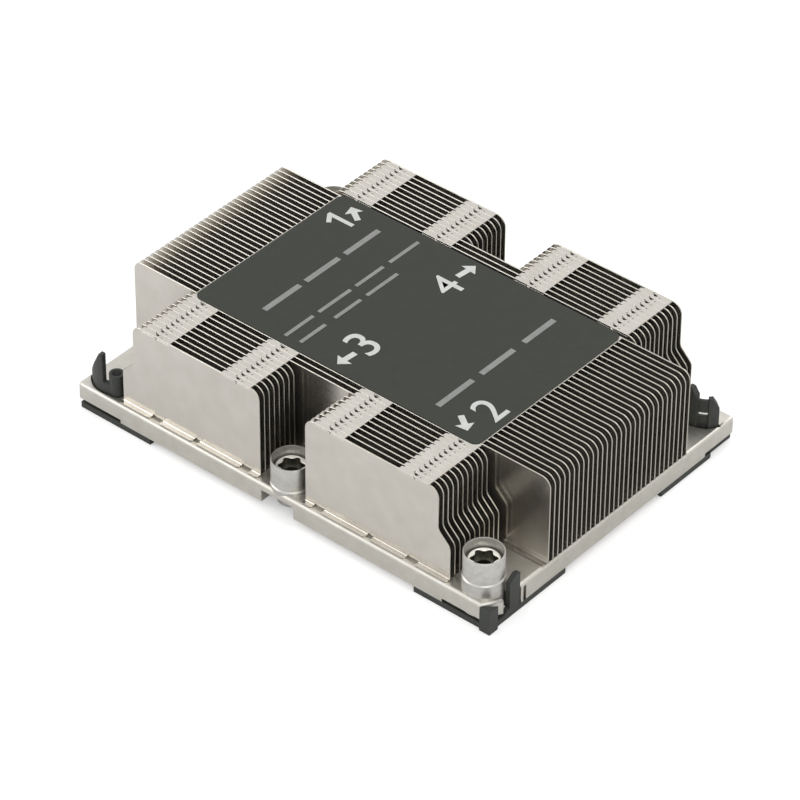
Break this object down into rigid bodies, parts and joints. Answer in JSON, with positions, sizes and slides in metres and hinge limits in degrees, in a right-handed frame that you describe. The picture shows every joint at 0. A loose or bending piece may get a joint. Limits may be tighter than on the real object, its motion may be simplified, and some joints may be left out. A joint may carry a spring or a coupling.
{
  "type": "cpu heatsink",
  "caption": "Low passive server processor heatsink: folded fin stacks on a plated base plate, captive spring nuts in sleeves and a black carrier clip.",
  "frame": {"origin": "centre of the flat contact face under the base plate", "axes": "+X along the long side and along the fins, +Y across the fins, +Z from the contact face up to the fin tops"},
  "size_m": [0.109, 0.079, 0.027],
  "materials": {
    "plated_plate": "satin nickel plating",
    "fin_sheet": "satin nickel plating",
    "bright_steel": "bright turned",
    "spring_steel": "bright wire",
    "black_plastic": "fine matte",
    "label": "matte printed film"
  },
  "bodies": {
    "cooler": {"base_plate": "plated_plate", "centre_fins": "fin_sheet", "near_bridge_fins": "fin_sheet", "far_bridge_fins": "fin_sheet", "near_side_fins": "fin_sheet", "far_side_fins": "fin_sheet", "label_sheet": "label", "carrier_clip": "black_plastic", "sleeve_1": "bright_steel", "spring_1": "spring_steel", "sleeve_2": "bright_steel", "spring_2": "spring_steel", "sleeve_3": "bright_steel", "spring_3": "spring_steel", "sleeve_4": "bright_steel", "spring_4": "spring_steel"},
    "ring_1": {"retaining_ring_1": "bright_steel"},
    "nut_1": {"nut_1": "bright_steel"},
    "ring_2": {"retaining_ring_2": "bright_steel"},
    "nut_2": {"nut_2": "bright_steel"},
    "ring_3": {"retaining_ring_3": "bright_steel"},
    "nut_3": {"nut_3": "bright_steel"},
    "ring_4": {"retaining_ring_4": "bright_steel"},
    "nut_4": {"nut_4": "bright_steel"}
  },
  "joints": [
    {"name": "nut_1_press", "type": "slide", "parent": "cooler", "child": "ring_1", "axis": [0, 0, 1], "range_m": [-0.001, 0], "stiffness_N_per_m": 2000, "springref_m": 0.001, "deforming": ["spring_1"]},
    {"name": "nut_1_turn", "type": "hinge", "parent": "ring_1", "child": "nut_1", "pos_m": [-0.0485, 0.0341, 0.0031], "axis": [0, 0, 1], "continuous": true},
    {"name": "nut_2_press", "type": "slide", "parent": "cooler", "child": "ring_2", "axis": [0, 0, 1], "range_m": [-0.001, 0], "stiffness_N_per_m": 2000, "springref_m": 0.001, "deforming": ["spring_2"]},
    {"name": "nut_2_turn", "type": "hinge", "parent": "ring_2", "child": "nut_2", "pos_m": [0.0485, -0.0341, 0.0031], "axis": [0, 0, 1], "continuous": true},
    {"name": "nut_3_press", "type": "slide", "parent": "cooler", "child": "ring_3", "axis": [0, 0, 1], "range_m": [-0.001, 0], "stiffness_N_per_m": 2000, "springref_m": 0.001, "deforming": ["spring_3"]},
    {"name": "nut_3_turn", "type": "hinge", "parent": "ring_3", "child": "nut_3", "pos_m": [0, -0.0346, 0.0005], "axis": [0, 0, 1], "continuous": true},
    {"name": "nut_4_press", "type": "slide", "parent": "cooler", "child": "ring_4", "axis": [0, 0, 1], "range_m": [-0.001, 0], "stiffness_N_per_m": 2000, "springref_m": 0.001, "deforming": ["spring_4"]},
    {"name": "nut_4_turn", "type": "hinge", "parent": "ring_4", "child": "nut_4", "pos_m": [0, 0.0346, 0.0005], "axis": [0, 0, 1], "continuous": true}
  ]
}
